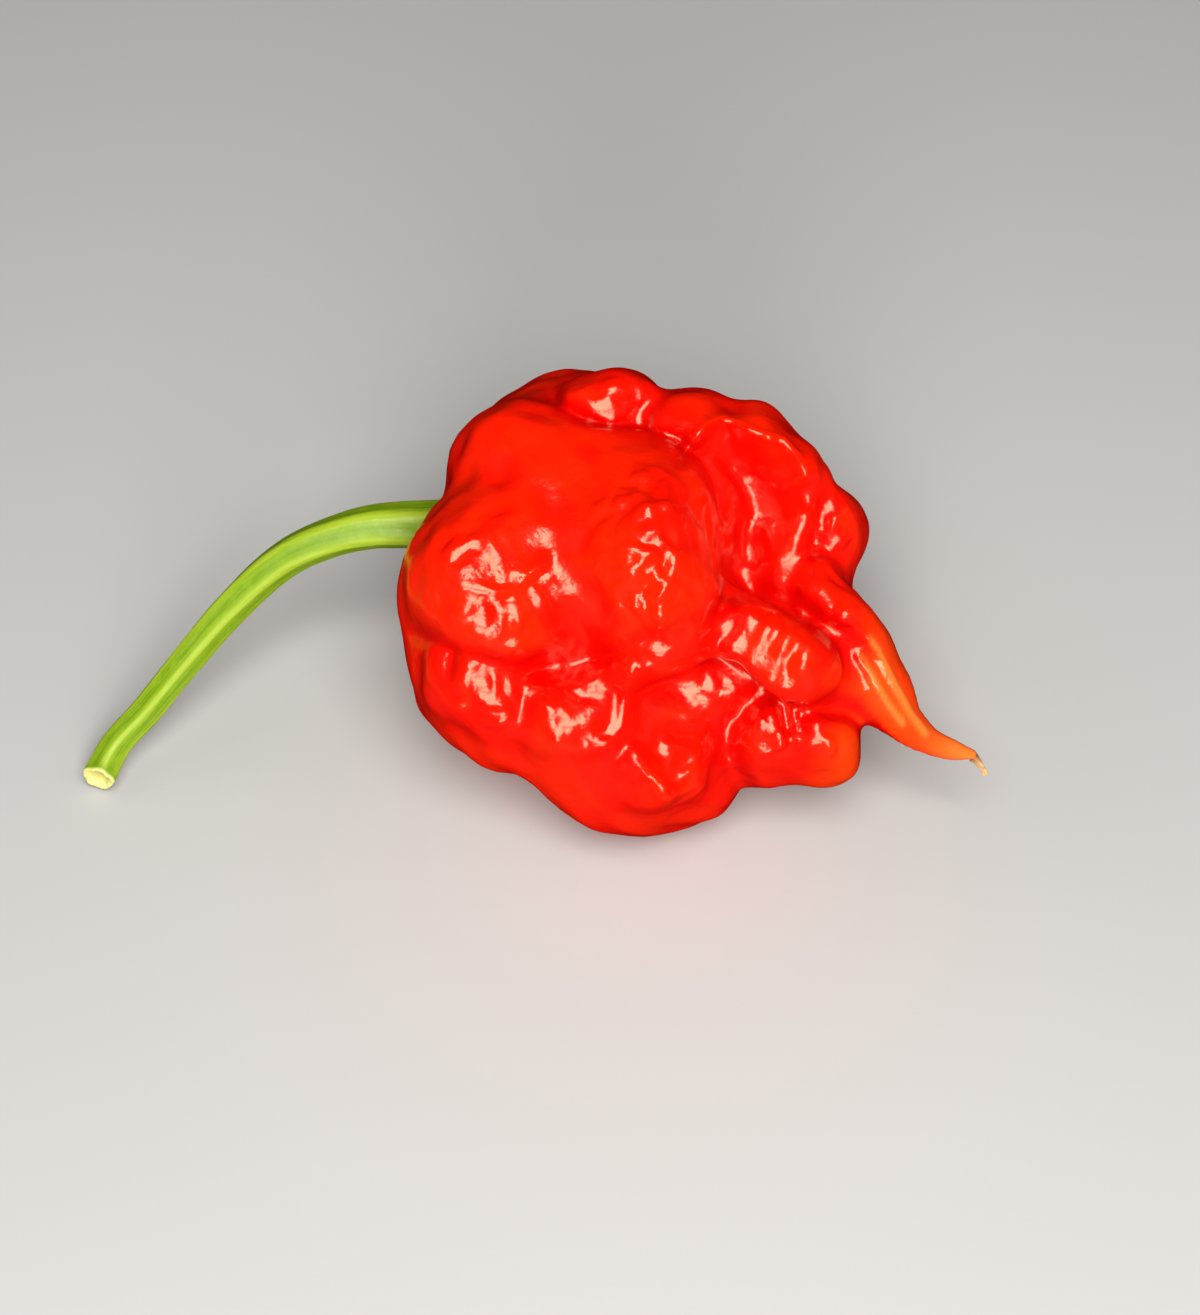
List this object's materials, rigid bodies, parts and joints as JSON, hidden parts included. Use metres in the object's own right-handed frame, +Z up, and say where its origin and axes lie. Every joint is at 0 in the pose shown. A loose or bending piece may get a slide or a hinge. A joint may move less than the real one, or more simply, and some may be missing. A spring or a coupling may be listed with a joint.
{
  "type": "chilli pepper",
  "caption": "Ripe red chilli pepper with a wrinkled, lobed pod, a tapering tail and a curved green stalk, lying on its side as picked.",
  "frame": {"origin": "middle of the bounding box on the surface that the pepper lies on", "axes": "+X from the cut end of the stalk towards the tail, +Z up, -Y out of the face of the pod"},
  "size_m": [0.0657, 0.0326, 0.0297],
  "materials": {
    "ripe_skin": "glossy waxy fruit skin, saturated red turning orange on the tail",
    "green_stalk": "satin plant stem, yellow green, with a pale cut end",
    "dry_style": "dry, matte and straw coloured"
  },
  "bodies": {
    "root": {"pod": "ripe_skin", "stalk": "green_stalk", "style_tip": "dry_style"}
  },
  "joints": []
}
